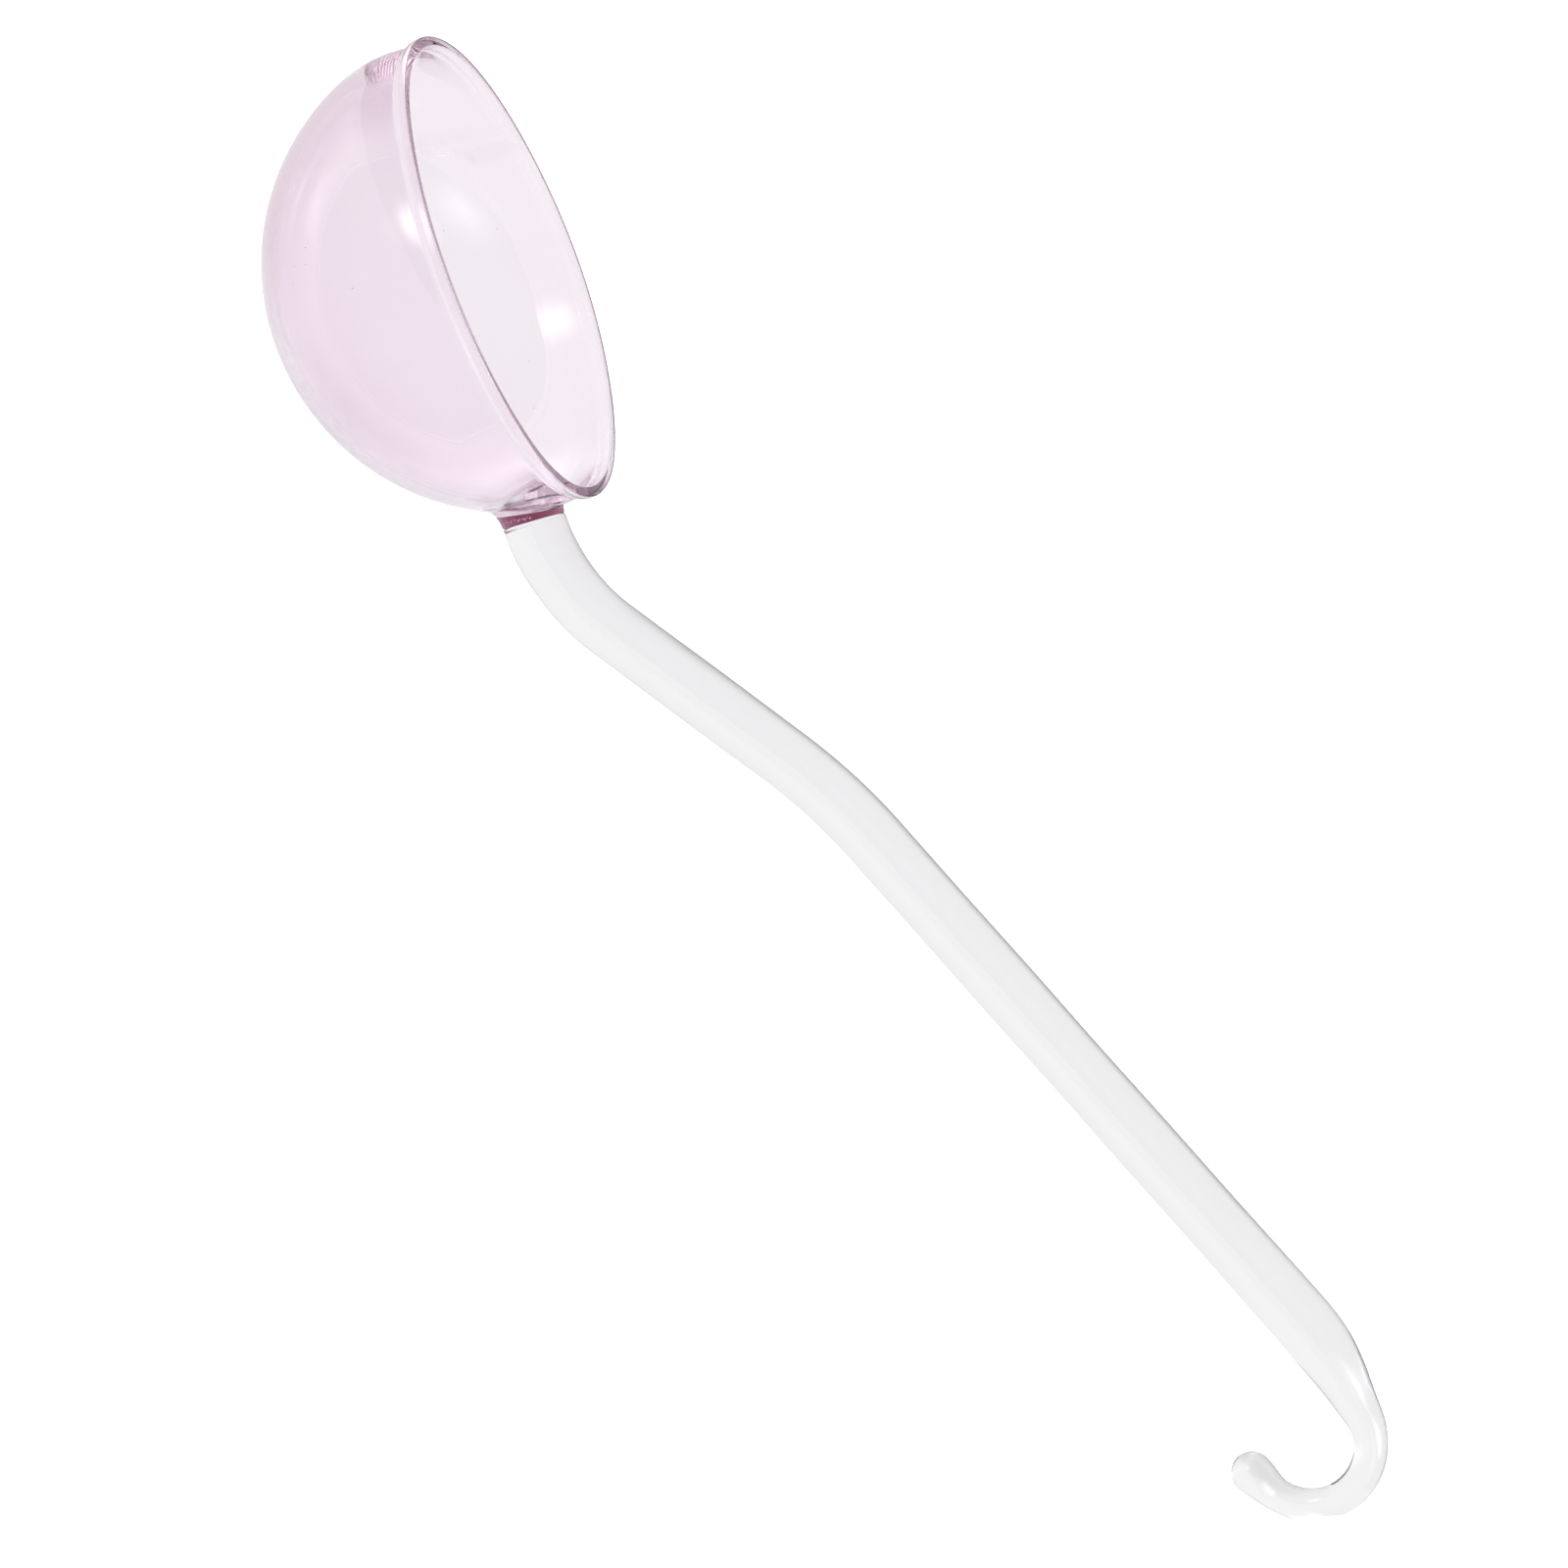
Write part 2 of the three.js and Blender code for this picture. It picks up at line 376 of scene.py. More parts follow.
def end_seam(distance, angle):
    """A shallow furrow round the lower half of the rod, where its end was melted on."""
    across = (distance - SEAM_PLACE) / SEAM_WIDTH
    return SEAM_DEPTH * (0.5 - 0.5 * math.cos(angle)) ** 2 * math.exp(-across * across)


def rod_profile():
    """Distance along the rod and radius, from the polished edge in the seal to the tip."""
    profile = []
    for step in range(ROD_EDGE_ROWS + 1):
        turn = math.pi / 2 * step / ROD_EDGE_ROWS
        edge = ROD_RADIUS - ROD_EDGE * (1 - math.sin(turn))
        profile.append((ROD_EDGE * (1 - math.cos(turn)), edge))
    smooth_from = SEAM_PLACE + SEAM_REACH * SEAM_WIDTH
    steps = math.ceil((TIP_CENTRE - smooth_from) / ROD_STEP)
    fine = np.linspace(ROD_EDGE, smooth_from, FURROW_ROWS + 1)[1:]
    for distance in [*fine, *np.linspace(smooth_from, TIP_CENTRE, steps + 1)[1:]]:
        profile.append((distance, rod_radius(distance) + drawn_wave(distance)))
    end_wave = profile[-1][1] / rod_radius(TIP_CENTRE)
    for step in range(1, TIP_ROWS):
        distance = TIP_CENTRE + TIP_RADIUS * math.sin(math.pi / 2 * step / TIP_ROWS)
        profile.append((distance, rod_radius(distance) * end_wave))
    return profile


def rod_mesh():
    profile = rod_profile()
    turn = np.linspace(0, 2 * math.pi, ROD_SIDES, endpoint=False)
    points = []
    for distance, radius in profile:
        x, z, turned = centre_line(distance)
        fade = 1 - smoothstep(distance, 0.0, END_FADE)
        for angle in turn:
            wide = radius + rod_swell(distance, angle) - end_seam(distance, angle)
            across = wide * math.cos(angle)
            start = x - fade * end_shift(wide, angle)
            points.append((
                start - across * math.sin(turned),
                wide * math.sin(angle),
                z + across * math.cos(turned),
            ))
    rows = len(profile)
    for distance in (0.0, TIP_CENTRE + TIP_RADIUS):
        x, z, _ = centre_line(distance)
        points.append((x - (distance == 0.0) * end_shift(0.0, 0.0), 0.0, z))
    faces = [tuple(reversed(f)) for f in ring_faces(rows, ROD_SIDES)]
    faces += cap_faces(rows * ROD_SIDES, 0, ROD_SIDES, False)
    faces += cap_faces(rows * ROD_SIDES + 1, (rows - 1) * ROD_SIDES, ROD_SIDES, True)
    return to_frame(points), faces


# The seal: a deep pink wedge on the end of the rod, and a pale flare that runs out on the bowl.
SEAL_SINK = 0.12
SEAM = 0.02
SEAL_EDGE = 0.3
WEDGE_LOW = 2.6
WEDGE_HIGH = 0.75
WEDGE_INSIDE = 0.9
WEDGE_BEND_LIMIT = rad(85)
FLARE_DEPTH = (2.35, -0.85)
FLARE_REACH = (2.05, 0.15)
FLARE_INSET = 0.02
FLARE_BEND_LIMIT = rad(89)
FOOT_RANGE = (20.0, 45.0)
HALVINGS = 50

# The seal's bubbles: their count, and where the row starts and how far it goes round, in degrees.
# Then, each with its spread, the row's place across the rod and along the wedge,
# and the bubbles' radius.
BUBBLES = 17
BUBBLE_START = 186
BUBBLE_SPAN = 92
BUBBLE_RING = (0.88, 0.06)
BUBBLE_SHARE = (0.52, 0.10)
BUBBLE_SWING = 2.4
BUBBLE_RADIUS = (0.12, 0.04)


def off_bowl(x, y, z):
    """How far a point stands off the outside of the bowl's wall."""
    radius = math.hypot(x, y)
    if math.atan2(z, radius) < -CURL_START:
        return math.hypot(radius, z) - BOWL_RADIUS
    return math.hypot(radius - CURL_CENTRE[0], z - CURL_CENTRE[1]) - CURL_RADIUS


def bisect(wanted, low, high):
    """The place between low and high where a rising value reaches nought."""
    for _ in range(HALVINGS):
        middle = (low + high) / 2
        if wanted(middle) < 0:
            low = middle
        else:
            high = middle
    return (low + high) / 2


def rod_end(radius, angle):
    return ROD_START - end_shift(radius, angle)


def flare_point(bend, angle):
    """A point of the flare: deep and wide below, short and tight towards the rim."""
    depth = FLARE_DEPTH[0] + FLARE_DEPTH[1] * math.cos(angle)
    reach = FLARE_REACH[0] + FLARE_REACH[1] * math.cos(angle)
    radius = ROD_RADIUS + rod_swell(0.0, angle)
    start = rod_end(radius, angle) - SEAL_EDGE
    return start - depth * math.sin(bend), radius + reach * (1 - math.cos(bend)), angle


def off_seal(point):
    """How far a point of the seal, given along, across and round the rod, stands off the bowl."""
    x, radius, angle = point
    return off_bowl(x, radius * math.sin(angle), radius * math.cos(angle) - SEAL_DROP)


def wedge_face(radius, angle):
    """Where the wedge's face towards the bowl stands."""
    share = 0.5 + 0.5 * radius * math.cos(angle) / ROD_RADIUS
    return ROD_START - WEDGE_LOW + (WEDGE_LOW - WEDGE_HIGH) * share


def closed_rows(rows, first, last):
    """A body of rings, closed at both ends by a fan to a point on its axis."""
    points = []
    for row in rows:
        for x, radius, angle in row:
            points.append((x, radius * math.sin(angle), radius * math.cos(angle) - SEAL_DROP))
    count = len(rows)
    points += [(first, 0.0, -SEAL_DROP), (last, 0.0, -SEAL_DROP)]
    faces = ring_faces(count, SEAL_SIDES)
    faces += cap_faces(count * SEAL_SIDES, 0, SEAL_SIDES, True)
    faces += cap_faces(count * SEAL_SIDES + 1, (count - 1) * SEAL_SIDES, SEAL_SIDES, False)
    return to_frame(points), faces


SEAL_TURN = np.linspace(0, 2 * math.pi, SEAL_SIDES, endpoint=False)


def wedge_bend(angle):
    """How far round the flare the wedge's face meets it."""
    def gap(bend):
        x, radius, _ = flare_point(bend, angle)
        return wedge_face(radius, angle) - x
    return bisect(gap, 0.0, WEDGE_BEND_LIMIT)


def wedge_mesh():
    inside = WEDGE_INSIDE * ROD_RADIUS
    rows = [[(rod_end(inside, a) + SEAL_SINK, inside, a) for a in SEAL_TURN]]
    for step in range(EDGE_ROWS + 1):
        bend = math.pi / 2 * step / EDGE_ROWS
        row = []
        for angle in SEAL_TURN:
            radius = ROD_RADIUS + rod_swell(0.0, angle) - SEAL_EDGE * (1 - math.sin(bend))
            row.append((rod_end(radius, angle) - SEAL_EDGE * (1 - math.cos(bend)), radius, angle))
        rows.append(row)
    ends = [wedge_bend(a) for a in SEAL_TURN]
    for step in range(1, WEDGE_ROWS + 1):
        rows.append([flare_point(end * step / WEDGE_ROWS, a) for end, a in zip(ends, SEAL_TURN)])
    edge = rows[-1]
    for step in range(1, FOOT_ROWS):
        share = 1 - step / FOOT_ROWS
        rows.append([(wedge_face(r * share, a), r * share, a) for _, r, a in edge])
    return closed_rows(rows, rod_end(0.0, 0.0) + SEAL_SINK, wedge_face(0.0, 0.0))


def wedge_bubbles():
    """A row of bubbles caught between rod and bowl, on the lower half of the seal."""
    for count in range(BUBBLES):
        angle = rad(BUBBLE_START + BUBBLE_SPAN * count / (BUBBLES - 1))
        radius = ROD_RADIUS * (BUBBLE_RING[0] - BUBBLE_RING[1] * (count % 2))
        low, high = wedge_face(radius, angle), rod_end(radius, angle)
        share = BUBBLE_SHARE[0] + BUBBLE_SHARE[1] * math.sin(BUBBLE_SWING * count)
        centre = (
            low + (high - low) * share,
            radius * math.sin(angle),
            radius * math.cos(angle) - SEAL_DROP,
        )
        yield centre, BUBBLE_RADIUS[0] + BUBBLE_RADIUS[1] * (count * 7 % 3)


def flare_end(angle):
    """How far round the flare it has sunk into the bowl's wall."""
    def sunk(bend):
        return -SEAL_SINK - off_seal(flare_point(bend, angle))
    return bisect(sunk, 0.0, FLARE_BEND_LIMIT)


def flare_foot(radius, angle):
    """Where the flare's foot lies in the bowl's wall."""
    def raised(x):
        return off_seal((x, radius, angle)) + SEAL_SINK
    return bisect(raised, *FOOT_RANGE)


def flare_mesh():
    starts = [wedge_bend(a) for a in SEAL_TURN]
    ends = [flare_end(a) for a in SEAL_TURN]
    rim = [flare_point(start, a) for start, a in zip(starts, SEAL_TURN)]
    rows = []
    for step in range(1, FOOT_ROWS + 1):
        share = step / FOOT_ROWS
        inside = 1.0 - FLARE_INSET * (step == FOOT_ROWS)
        rows.append([
            (wedge_face(r * share * inside, a) - SEAM, r * share * inside, a) for _, r, a in rim
        ])
    for step in range(FLARE_ROWS + 1):
        share = step / FLARE_ROWS
        rows.append([
            flare_point(start + (end - start) * share, a)
            for start, end, a in zip(starts, ends, SEAL_TURN)
        ])
    edge = rows[-1]
    for step in range(1, FOOT_ROWS):
        share = 1 - step / FOOT_ROWS
        rows.append([(flare_foot(r * share, a), r * share, a) for _, r, a in edge])
    return closed_rows(rows, wedge_face(0.0, 0.0) - SEAM, flare_foot(0.0, 0.0))


# Glass. The seal is melted into the glass beside it, so light bends less at its own faces.
GLASS_IOR = 1.47
SEAL_IOR = 1.12
WAVE_DETAIL = 2.0
FILM_SCALE = 140.0
FILM_DETAIL = 4.0
FILM_RANGE = (0.45, 0.75)
FILM_ROUGHNESS = 0.03
SKIN_COLOUR = (0.95, 0.84, 0.87, 1)
SKIN_GRAIN = 3000.0


def glass(name, tint, colour, density, ior, wave_scale, wave_depth, stretch=(1, 1, 1)):
    """Clear, soaked-through colour, with the faint waves of glass worked in a flame."""
    material = bpy.data.materials.new(name)
    material.use_nodes = True
    nodes, links = material.node_tree.nodes, material.node_tree.links
    shader = nodes["Principled BSDF"]
    output = nodes["Material Output"]
    shader.inputs["Base Color"].default_value = (*tint, 1)
    shader.inputs["IOR"].default_value = ior
    shader.inputs["Transmission Weight"].default_value = 1.0
    place = nodes.new("ShaderNodeTexCoord")
    scaled = nodes.new("ShaderNodeMapping")
    scaled.inputs["Scale"].default_value = stretch
    scaled.inputs["Rotation"].default_value = (0, REST_TILT, 0)
    links.new(place.outputs["Object"], scaled.inputs["Vector"])
    waves = nodes.new("ShaderNodeTexNoise")
    waves.inputs["Scale"].default_value = wave_scale
    waves.inputs["Detail"].default_value = WAVE_DETAIL
    links.new(scaled.outputs["Vector"], waves.inputs["Vector"])
    bump = nodes.new("ShaderNodeBump")
    bump.inputs["Strength"].default_value = 1.0
    bump.inputs["Distance"].default_value = wave_depth * MM
    links.new(waves.outputs["Fac"], bump.inputs["Height"])
    links.new(bump.outputs["Normal"], shader.inputs["Normal"])
    film = nodes.new("ShaderNodeTexNoise")
    film.inputs["Scale"].default_value = FILM_SCALE
    film.inputs["Detail"].default_value = FILM_DETAIL
    links.new(place.outputs["Object"], film.inputs["Vector"])
    haze = nodes.new("ShaderNodeMapRange")
    haze.inputs["From Min"].default_value = FILM_RANGE[0]
    haze.inputs["From Max"].default_value = FILM_RANGE[1]
    haze.inputs["To Min"].default_value = 0.0
    haze.inputs["To Max"].default_value = FILM_ROUGHNESS
    links.new(film.outputs["Fac"], haze.inputs["Value"])
    links.new(haze.outputs["Result"], shader.inputs["Roughness"])
    soak = nodes.new("ShaderNodeVolumeAbsorption")
    soak.inputs["Color"].default_value = (*colour, 1)
    soak.inputs["Density"].default_value = density
    links.new(soak.outputs["Volume"], output.inputs["Volume"])
    return material


def silver_skin(name):
    """The bright skin of a bubble, as light is thrown back inside the glass."""
    material = bpy.data.materials.new(name)
    material.use_nodes = True
    nodes, links = material.node_tree.nodes, material.node_tree.links
    shader = nodes["Principled BSDF"]
    shader.inputs["Base Color"].default_value = SKIN_COLOUR
    shader.inputs["Metallic"].default_value = 1.0
    place = nodes.new("ShaderNodeTexCoord")
    grain = nodes.new("ShaderNodeTexNoise")
    grain.inputs["Scale"].default_value = SKIN_GRAIN
    links.new(place.outputs["Object"], grain.inputs["Vector"])
    links.new(grain.outputs["Fac"], shader.inputs["Roughness"])
    return material


pink_glass = glass(
    "pink_glass", tint=(1.0, 0.94, 0.99), colour=(0.35, 0.0, 0.2), density=6.0,
    ior=GLASS_IOR, wave_scale=60.0, wave_depth=0.007,
)
seal_glass = glass(
    "seal_glass", tint=(1.0, 1.0, 1.0), colour=(0.47, 0.0, 0.22), density=290.0,
    ior=SEAL_IOR, wave_scale=200.0, wave_depth=0.01,
)
flare_glass = glass(
    "flare_glass", tint=(1.0, 0.97, 0.99), colour=(0.35, 0.0, 0.2), density=6.0,
    ior=SEAL_IOR, wave_scale=200.0, wave_depth=0.01,
)
clear_glass = glass(
    "clear_glass", tint=(1.0, 1.0, 1.0), colour=(0.52, 0.48, 0.66), density=8.0,
    ior=GLASS_IOR, wave_scale=70.0, wave_depth=0.015, stretch=(0.15, 1, 1),
)

bowl = make_piece("bowl_glass", *bowl_mesh(), pink_glass)
add_bubbles(bowl, bowl_seeds())
wedge = make_piece("seal_wedge", *wedge_mesh(), seal_glass)
add_bubbles(wedge, wedge_bubbles(), silver_skin("bubble_skin"))
flare = make_piece("seal_flare", *flare_mesh(), flare_glass)
rod = make_piece("handle_glass", *rod_mesh(), clear_glass)
for piece, node, slot in (
    (bowl, "bowl", "pink_glass"),
    (wedge, "seal_collar", "seal_glass"),
    (flare, "seal_collar", "seal_glass"),
    (rod, "handle_rod", "clear_glass"),
):
    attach(piece, "root")
    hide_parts(node)
# The photo's ground shows no shadow of the bowl.
for piece in (bowl, wedge, flare):
    piece.visible_shadow = False


# Floor.
FLOOR_REACH = 12.0
FLOOR_FRONT = -0.42
FLOOR_GLOW = 0.5
PAPER_WHITE = (0.9, 0.9, 0.9, 1)

# The pink shade past the bowl: its colour, its slant, and where it starts and is full.
PINK_SHADE = (0.77, 0.70, 0.74, 1)
SHADE_SLANT = 0.38
SHADE_START = 0.102
SHADE_FULL = 0.129

# The rod's shade: what it leaves of the light, its half width, and its depth at places
# along the floor.
ROD_SHADE = 0.60
ROD_SHADE_WIDTH = 0.022
ROD_SHADE_STOPS = [
    (-0.046, 0.0),
    (-0.03, 1.0),
    (0.082, 1.0),
    (0.10, 0.0),
    (0.122, 0.0),
    (0.140, 1.0),
]


def floor_piece(name, low, high, paper):
    (left, near), (right, far) = low, high
    corners = [(left, near, 0), (right, near, 0), (right, far, 0), (left, far, 0)]
    mesh = bpy.data.meshes.new(name)
    mesh.from_pydata(corners, [], [(0, 1, 2, 3)])
    made = bpy.data.objects.new(name, mesh)
    bpy.context.scene.collection.objects.link(made)
    mesh.materials.append(paper)
    return made


def rod_shade(nodes, links, place):
    """How far the floor lies in the rod's shade: most below the rod, and less beside it."""
    split = nodes.new("ShaderNodeSeparateXYZ")
    links.new(place, split.inputs["Vector"])
    beside = nodes.new("ShaderNodeMath")
    beside.operation = "ABSOLUTE"
    links.new(split.outputs["Y"], beside.inputs[0])
    near = nodes.new("ShaderNodeMapRange")
    near.interpolation_type = "SMOOTHSTEP"
    near.inputs["From Min"].default_value = ROD_SHADE_WIDTH
    near.inputs["From Max"].default_value = 0.0
    links.new(beside.outputs["Value"], near.inputs["Value"])
    first, last = ROD_SHADE_STOPS[0][0], ROD_SHADE_STOPS[-1][0]
    share = nodes.new("ShaderNodeMapRange")
    share.inputs["From Min"].default_value = first
    share.inputs["From Max"].default_value = last
    links.new(split.outputs["X"], share.inputs["Value"])
    along = nodes.new("ShaderNodeValToRGB")
    stops = along.color_ramp.elements
    for index, (x, level) in enumerate(ROD_SHADE_STOPS):
        # A new ramp has two stops.
        stop = stops[index] if index < 2 else stops.new(1.0)
        stop.position = (x - first) / (last - first)
        stop.color = (level, level, level, 1)
    links.new(share.outputs["Result"], along.inputs["Fac"])
    both = nodes.new("ShaderNodeMath")
    both.operation = "MULTIPLY"
    links.new(near.outputs["Result"], both.inputs[0])
    links.new(along.outputs["Color"], both.inputs[1])
    return both.outputs["Value"]


def not_to_camera(nodes, links, path, value):
    """The value, but 0 where the camera sees the floor directly."""
    less = nodes.new("ShaderNodeMath")
    less.operation = "SUBTRACT"
    less.use_clamp = True
    links.new(value, less.inputs[0])
    links.new(path.outputs["Is Camera Ray"], less.inputs[1])
    return less.outputs["Value"]


def paper_material(name):
    """White paper. To the camera it glows a little, as a lit studio sweep does.

    In the glass its far end, past the bowl, lies in a pink shade, and the strip below the rod
    in the rod's.
    """
    material = bpy.data.materials.new(name)
    material.use_nodes = True
    nodes, links = material.node_tree.nodes, material.node_tree.links
    shader = nodes["Principled BSDF"]
    shader.inputs["Roughness"].default_value = 1.0
    shader.inputs["Specular IOR Level"].default_value = 0.0
    shader.inputs["Emission Color"].default_value = (1, 1, 1, 1)
    path = nodes.new("ShaderNodeLightPath")
    glow = nodes.new("ShaderNodeMath")
    glow.operation = "MULTIPLY"
    glow.inputs[1].default_value = FLOOR_GLOW
    links.new(path.outputs["Is Camera Ray"], glow.inputs[0])
    links.new(glow.outputs["Value"], shader.inputs["Emission Strength"])
    place = nodes.new("ShaderNodeTexCoord")
    past = nodes.new("ShaderNodeVectorMath")
    past.operation = "DOT_PRODUCT"
    past.inputs[1].default_value = (-1.0, -SHADE_SLANT, 0.0)
    links.new(place.outputs["Object"], past.inputs[0])
    shade = nodes.new("ShaderNodeMapRange")
    shade.interpolation_type = "SMOOTHSTEP"
    shade.inputs["From Min"].default_value = SHADE_START
    shade.inputs["From Max"].default_value = SHADE_FULL
    links.new(past.outputs["Value"], shade.inputs["Value"])
    colour = nodes.new("ShaderNodeMix")
    colour.data_type = "RGBA"
    colour.inputs["A"].default_value = PAPER_WHITE
    colour.inputs["B"].default_value = PINK_SHADE
    in_glass = not_to_camera(nodes, links, path, shade.outputs["Result"])
    links.new(in_glass, colour.inputs["Factor"])
    below_rod = rod_shade(nodes, links, place.outputs["Object"])
    darker = nodes.new("ShaderNodeMix")
    darker.data_type = "RGBA"
    darker.blend_type = "MULTIPLY"
    darker.inputs["B"].default_value = (ROD_SHADE, ROD_SHADE, ROD_SHADE, 1)
    links.new(not_to_camera(nodes, links, path, below_rod), darker.inputs["Factor"])
    links.new(colour.outputs["Result"], darker.inputs["A"])
    links.new(darker.outputs["Result"], shader.inputs["Base Color"])
    return material


paper = paper_material("paper")
floor_piece("floor", (-FLOOR_REACH, FLOOR_FRONT), (FLOOR_REACH, FLOOR_REACH), paper)
front = floor_piece("floor_front", (-FLOOR_REACH, -FLOOR_REACH), (FLOOR_REACH, FLOOR_FRONT), paper)
front.visible_glossy = False

# Light. The sky's colour as seen through the glass, as it reaches the floor through the glass,
# as it reaches the open floor, and as it is mirrored.
SKY_SEEN = (0.93, 0.93, 0.93)
SKY_BELOW_GLASS = (1.40, 1.40, 1.41)
SKY_OPEN = (0.82, 0.82, 0.82)
SKY_MIRRORED = (0.04, 0.04, 0.045)
SUN_STRENGTH = 0.66
SUN_SPREAD = rad(25)
SUN_TILT = rad(20)
scene = bpy.context.scene


def mirror_factor(nodes, links, path):
    """1 where light is mirrored in the glass, and 0 where it is seen directly or through it."""
    factor = path.outputs["Is Glossy Ray"]
    for other in ("Is Transmission Ray", "Diffuse Depth"):
        less = nodes.new("ShaderNodeMath")
        less.operation = "SUBTRACT"
        less.use_clamp = True
        links.new(factor, less.inputs[0])
        links.new(path.outputs[other], less.inputs[1])
        factor = less.outputs["Value"]
    return factor


def studio_world(name):
    world = bpy.data.worlds.new(name)
    world.use_nodes = True
    nodes, links = world.node_tree.nodes, world.node_tree.links
    path = nodes.new("ShaderNodeLightPath")
    sky = None
    for factor, other in (
        (path.outputs["Diffuse Depth"], SKY_BELOW_GLASS),
        (path.outputs["Is Diffuse Ray"], SKY_OPEN),
        (mirror_factor(nodes, links, path), SKY_MIRRORED),
    ):
        mix = nodes.new("ShaderNodeMix")
        mix.data_type = "RGBA"
        links.new(factor, mix.inputs["Factor"])
        if sky:
            links.new(sky, mix.inputs["A"])
        else:
            mix.inputs["A"].default_value = (*SKY_SEEN, 1)
        mix.inputs["B"].default_value = (*other, 1)
        sky = mix.outputs["Result"]
    background = nodes["Background"]
    links.new(sky, background.inputs["Color"])
    background.inputs["Strength"].default_value = 1.0
    return world


scene.world = studio_world("studio")

sun = bpy.data.objects.new("key", bpy.data.lights.new("key", "SUN"))
sun.data.energy = SUN_STRENGTH
sun.data.angle = SUN_SPREAD
sun.rotation_euler = (SUN_TILT, 0, 0)
sun.visible_glossy = False
sun.visible_transmission = False
scene.collection.objects.link(sun)


def glow_material(name, strength):
    """Bright in the middle and fading to nothing at the edge, as a softbox does."""
    material = bpy.data.materials.new(name)
    material.use_nodes = True
    nodes, links = material.node_tree.nodes, material.node_tree.links
    nodes.remove(nodes["Principled BSDF"])
    place = nodes.new("ShaderNodeTexCoord")
    fade = nodes.new("ShaderNodeTexGradient")
    fade.gradient_type = "QUADRATIC_SPHERE"
    level = nodes.new("ShaderNodeMath")
    level.operation = "MULTIPLY"
    level.inputs[1].default_value = strength
    lamp = nodes.new("ShaderNodeEmission")
    clear = nodes.new("ShaderNodeBsdfTransparent")
    both = nodes.new("ShaderNodeAddShader")
    links.new(place.outputs["Object"], fade.inputs["Vector"])
    links.new(fade.outputs["Fac"], level.inputs[0])
    links.new(level.outputs["Value"], lamp.inputs["Strength"])
    links.new(lamp.outputs["Emission"], both.inputs[0])
    links.new(clear.outputs["BSDF"], both.inputs[1])
    links.new(both.outputs["Shader"], nodes["Material Output"].inputs["Surface"])
    return material


# The far wall of the bowl, which the lamps are aimed at.
BOWL_BACK = (-0.099, 0.031, 0.028)


def softbox(name, azimuth, elevation, distance, size, strength, through_glass=True):
    """A lamp that the camera does not see, only the glass. It throws no light on the floor.

    Azimuth 0 stands on the camera's side, and 90 at the hook's end.
    """
    a, e = rad(azimuth), rad(elevation)
    back = Vector((math.sin(a) * math.cos(e), -math.cos(a) * math.cos(e), math.sin(e)))
    mesh = bpy.data.meshes.new(name)
    mesh.from_pydata([(-1, -1, 0), (1, -1, 0), (1, 1, 0), (-1, 1, 0)], [], [(0, 1, 2, 3)])
    mesh.materials.append(glow_material(name, strength))
    lamp = bpy.data.objects.new(name, mesh)
    turned = (-back).to_track_quat("-Z", "Y").to_matrix().to_4x4()
    spread = Matrix.Diagonal((size[0] / 2, size[1] / 2, 1.0, 1.0))
    lamp.matrix_world = Matrix.Translation(Vector(BOWL_BACK) + back * distance) @ turned @ spread
    scene.collection.objects.link(lamp)
    lamp.visible_camera = lamp.visible_diffuse = lamp.visible_shadow = False
    lamp.visible_transmission = through_glass


softbox("softbox_high", 67, 31, distance=1.0, size=(0.92, 0.54), strength=14.0, through_glass=False)
softbox("softbox_right", 45, 8, distance=1.0, size=(1.25, 0.70), strength=2.1)
softbox("softbox_left", -28, 8, distance=1.0, size=(0.62, 0.35), strength=9.0)
softbox("softbox_back", -130, 15, distance=2.0, size=(3.0, 1.8), strength=1.5)
softbox("softbox_wide", 0, 35, distance=2.0, size=(5.0, 3.0), strength=0.4, through_glass=False)

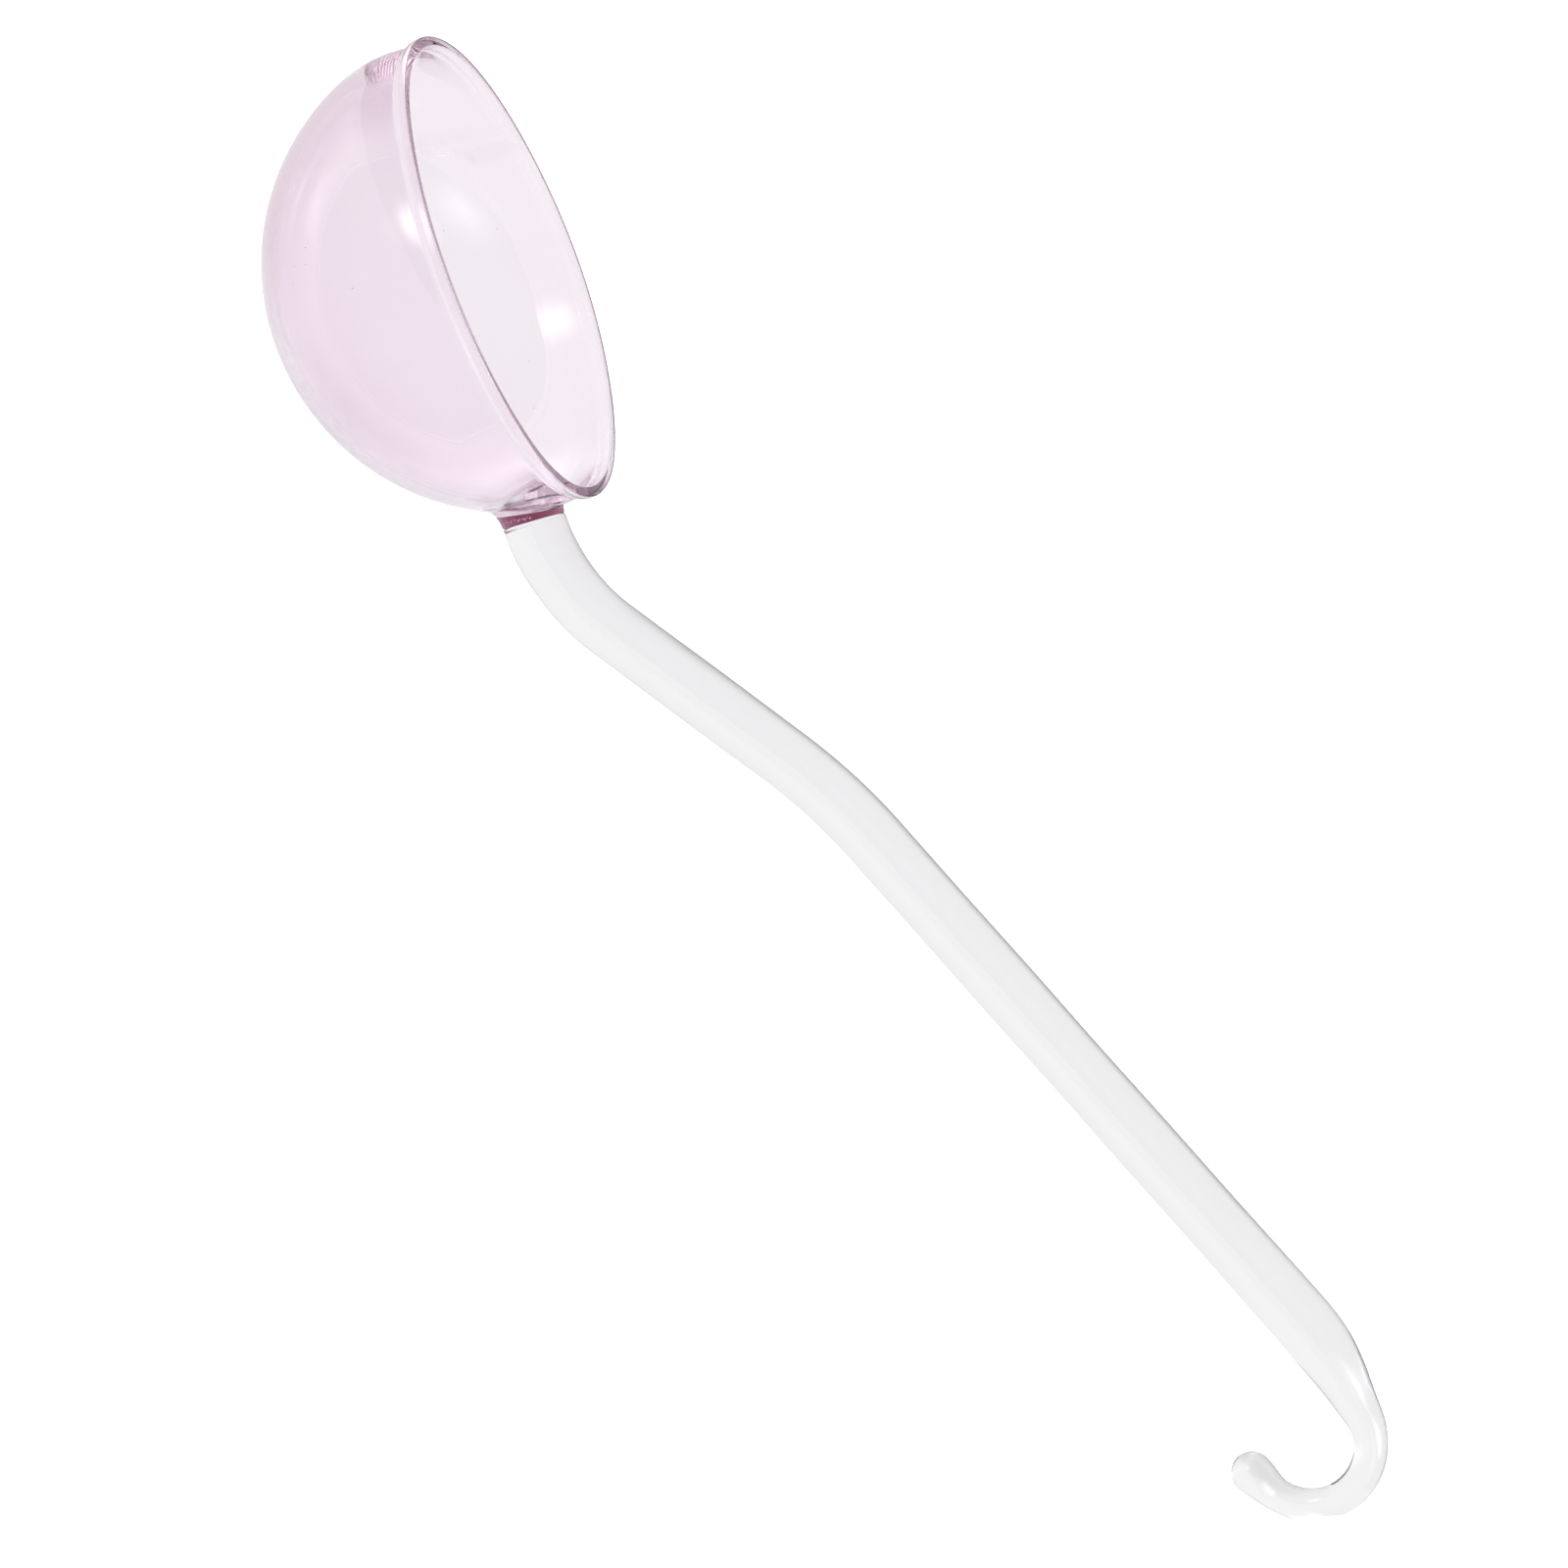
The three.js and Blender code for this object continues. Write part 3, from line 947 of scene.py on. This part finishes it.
# A grey card beyond the hook, as photographers use to draw the edges of glass.
CARD_PLACE = 0.142
CARD_HALF_WIDTH = 0.020
CARD_HEIGHT = 0.028
CARD_COLOUR = (0.14, 0.14, 0.14, 1)


def grey_card(name):
    """An upright card that is seen through the glass only."""
    material = bpy.data.materials.new(name)
    material.use_nodes = True
    shader = material.node_tree.nodes["Principled BSDF"]
    shader.inputs["Base Color"].default_value = CARD_COLOUR
    shader.inputs["Roughness"].default_value = 1.0
    shader.inputs["Specular IOR Level"].default_value = 0.0
    corners = [
        (CARD_PLACE, side * CARD_HALF_WIDTH, z) for z in (0.0, CARD_HEIGHT) for side in (-1, 1)
    ]
    mesh = bpy.data.meshes.new(name)
    mesh.from_pydata(corners, [], [(0, 1, 3, 2)])
    mesh.materials.append(material)
    card = bpy.data.objects.new(name, mesh)
    scene.collection.objects.link(card)
    card.visible_camera = card.visible_diffuse = card.visible_glossy = card.visible_shadow = False


grey_card("card")

# Camera. The picture's right is a mix of the rod's first direction and of the bowl's axis, which is
# tipped by the look down. The clip distance is in metres.
LOOK_DOWN = rad(15.08)
ROLL = (0.3477, 0.9376)
AIM = (84.4, 0.0, 11.6)
FRAME_WIDTH = 226.4
LENS = 200.0
SENSOR = 36.0
CLIP_END = 50.0
BOUNCES = 64
lean = math.cos(LOOK_DOWN) * AXIS + math.sin(LOOK_DOWN) * SIDE
right = ROLL[0] * ALONG + ROLL[1] * lean
up = -ROLL[1] * ALONG + ROLL[0] * lean
back = np.cross(right, up)
aim = to_frame([AIM])[0]
camera = bpy.data.objects.new("camera", bpy.data.cameras.new("camera"))
camera.data.lens = LENS
camera.data.sensor_width = SENSOR
camera.data.clip_end = CLIP_END
turned = Matrix([right, up, back]).transposed().to_4x4()
camera.matrix_world = Matrix.Translation(aim + back * FRAME_WIDTH * MM * LENS / SENSOR) @ turned
scene.collection.objects.link(camera)
scene.camera = camera
scene.view_settings.view_transform = "Standard"
scene.cycles.max_bounces = BOUNCES
scene.cycles.transmission_bounces = BOUNCES
scene.cycles.glossy_bounces = BOUNCES
